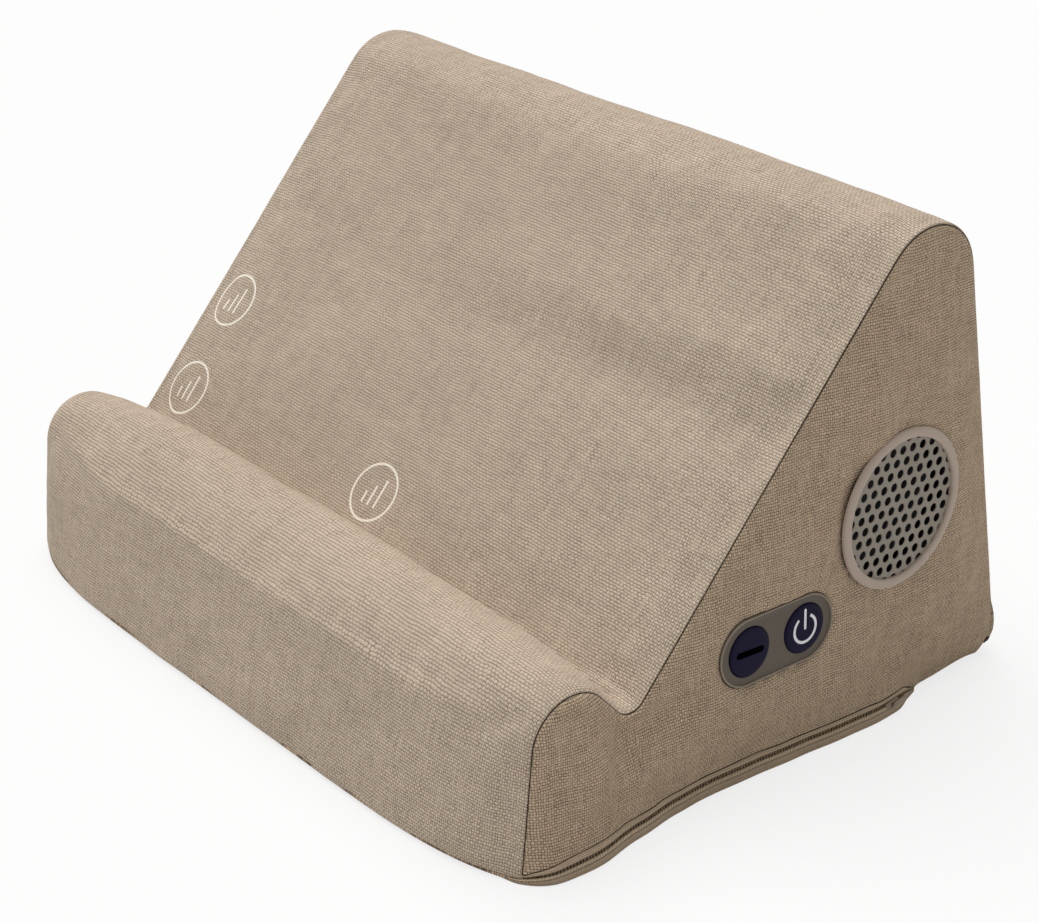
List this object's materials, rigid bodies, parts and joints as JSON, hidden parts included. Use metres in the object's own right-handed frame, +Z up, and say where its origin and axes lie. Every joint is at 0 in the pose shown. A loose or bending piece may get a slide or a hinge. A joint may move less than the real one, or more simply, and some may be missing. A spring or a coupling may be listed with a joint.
{
  "type": "tablet cushion stand",
  "caption": "Wedge-shaped fabric cushion that holds a tablet upright in a groove, with a loudspeaker grille, push buttons and a zip in its side.",
  "frame": {"origin": "on the floor, under the middle of the seam width and of the base depth", "axes": "+X along the groove to the side with the loudspeaker, -Y to the front lip, +Z up"},
  "size_m": [0.3157, 0.2512, 0.1854],
  "materials": {
    "canvas": "plain weave",
    "side_canvas": "plain weave",
    "base_fabric": "matte",
    "foam": "open foam",
    "zip_tape": "woven tape",
    "zip_nylon": "satin",
    "dark_metal": "satin",
    "ring_plastic": "satin",
    "plate_metal": "satin",
    "panel_plastic": "satin",
    "button_plastic": "semi-gloss",
    "black_plastic": "matte",
    "black_rubber": "matte",
    "steel": "plain",
    "ferrite": "matte",
    "cone_paper": "matte",
    "copper": "wound wire",
    "ochre_cloth": "stiffened cloth",
    "circuit_board": "lacquered",
    "battery_film": "satin film",
    "lead_sheath": "matte"
  },
  "bodies": {
    "cushion": {"foam_core": "foam", "cover_wrap": "canvas", "cover_side_right": "side_canvas", "cover_side_left": "side_canvas", "cover_base": "base_fabric", "zip_tape_upper": "zip_tape", "zip_tape_lower": "zip_tape", "zip_coil_upper": "zip_nylon", "zip_coil_lower": "zip_nylon", "zip_stop_front": "dark_metal", "zip_stop_back": "dark_metal", "grille_ring": "ring_plastic", "grille_plate": "plate_metal", "grille_retainer": "black_rubber", "speaker_housing": "black_plastic", "speaker_basket": "steel", "speaker_surround": "black_rubber", "speaker_cone": "cone_paper", "dust_cap": "cone_paper", "voice_coil": "copper", "speaker_spider": "ochre_cloth", "magnet_front_plate": "steel", "speaker_magnet": "ferrite", "magnet_yoke": "steel", "basket_screw_1": "steel", "basket_screw_2": "steel", "basket_screw_3": "steel", "basket_screw_4": "steel", "control_bezel": "panel_plastic", "control_housing": "black_plastic", "control_board": "circuit_board", "board_screw_1": "steel", "board_screw_2": "steel", "mode_switch": "black_plastic", "power_switch": "black_plastic", "battery_cell": "battery_film", "battery_lead": "lead_sheath", "speaker_lead": "lead_sheath"},
    "mode_key": {"mode_button": "button_plastic", "mode_plunger": "button_plastic"},
    "power_key": {"power_button": "button_plastic", "power_plunger": "button_plastic"},
    "slider": {"zip_slider": "dark_metal"},
    "pull": {"zip_pull": "dark_metal"}
  },
  "joints": [
    {"name": "mode_press", "type": "slide", "parent": "cushion", "child": "mode_key", "axis": [-0.9989, 0.0199, -0.0414], "range_m": [0, 0.0008], "stiffness_N_per_m": 600, "springref_m": -0.0005},
    {"name": "power_press", "type": "slide", "parent": "cushion", "child": "power_key", "axis": [-0.9989, 0.0199, -0.0414], "range_m": [0, 0.0008], "stiffness_N_per_m": 600, "springref_m": -0.0005},
    {"name": "zip_slide", "type": "slide", "parent": "cushion", "child": "slider", "axis": [0.0229, -0.9997, 0], "range_m": [0, 0.148]},
    {"name": "pull_swing", "type": "hinge", "parent": "slider", "child": "pull", "pos_m": [0.15894, 0.05075, 0.005], "axis": [0, 0, -1], "range_deg": [0, 150]}
  ]
}
